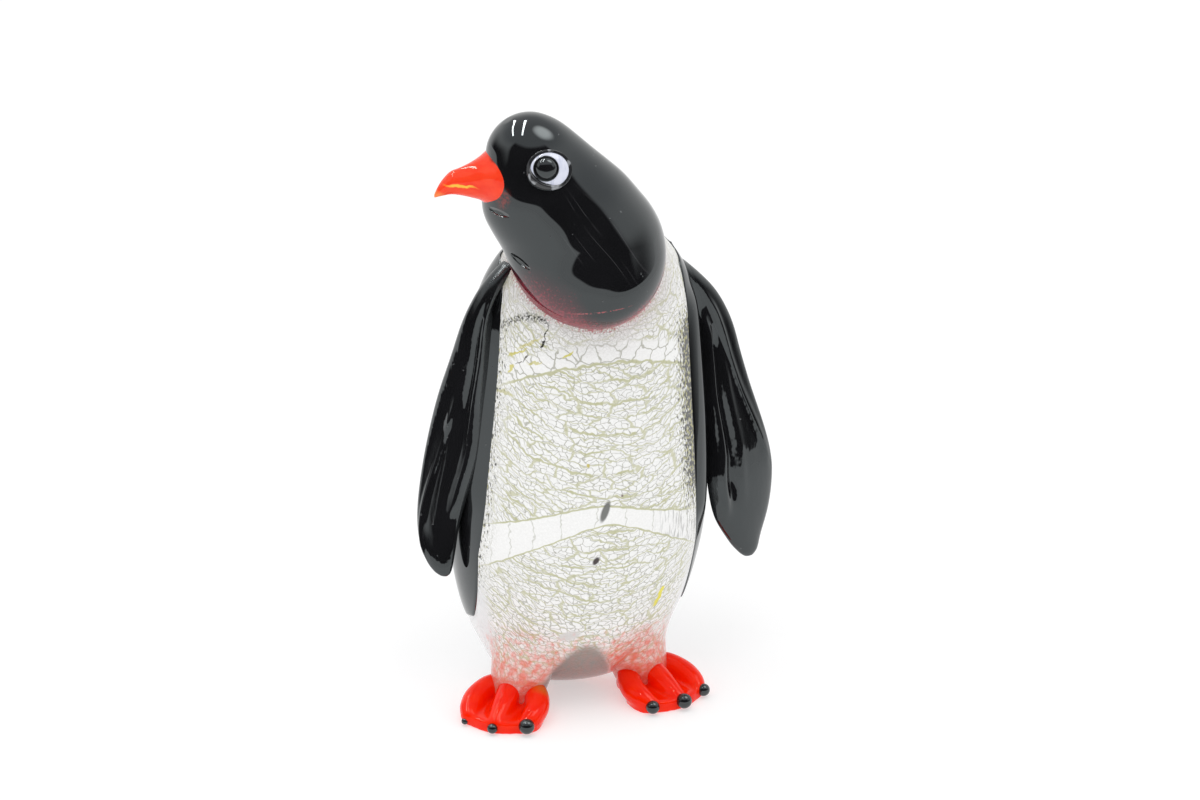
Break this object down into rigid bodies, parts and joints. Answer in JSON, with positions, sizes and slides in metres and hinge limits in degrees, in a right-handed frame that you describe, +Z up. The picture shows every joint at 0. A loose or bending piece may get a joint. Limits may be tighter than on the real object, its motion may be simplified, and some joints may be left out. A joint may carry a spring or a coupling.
{
  "type": "penguin figurine",
  "caption": "Solid glass penguin ornament with a silver-leaf belly, black back, wings and leaning head, and an orange-red beak and feet, standing on its soles and tail.",
  "frame": {"origin": "centre of the bounding box's bottom, on the table under the figure", "axes": "+Z up; the body and feet face -Y, the figure's left is +X, and the head looks to -X"},
  "size_m": [0.0726, 0.0476, 0.1202],
  "materials": {
    "clear_glass": "polished, clear",
    "silver_leaf": "crackled metal leaf under clear glass",
    "black_glass": "glossy, opaque",
    "orange_glass": "glossy, opaque",
    "white_glass": "glossy, opaque",
    "rosy_glass": "polished, clear with a rosy tint"
  },
  "bodies": {
    "root": {"glass_core": "clear_glass", "silver_leaf": "silver_leaf", "clear_casing": "clear_glass", "black_cape": "black_glass", "hood": "black_glass", "beak": "orange_glass", "left_eye_rim": "clear_glass", "left_eye_white": "white_glass", "left_pupil": "black_glass", "right_eye_rim": "clear_glass", "right_eye_white": "white_glass", "right_pupil": "black_glass", "left_wing": "black_glass", "right_wing": "black_glass", "left_leg": "rosy_glass", "right_leg": "rosy_glass", "left_foot": "orange_glass", "right_foot": "orange_glass", "left_inner_claw": "black_glass", "left_middle_claw": "black_glass", "left_outer_claw": "black_glass", "right_inner_claw": "black_glass", "right_middle_claw": "black_glass", "right_outer_claw": "black_glass", "tail": "black_glass"}
  },
  "joints": []
}
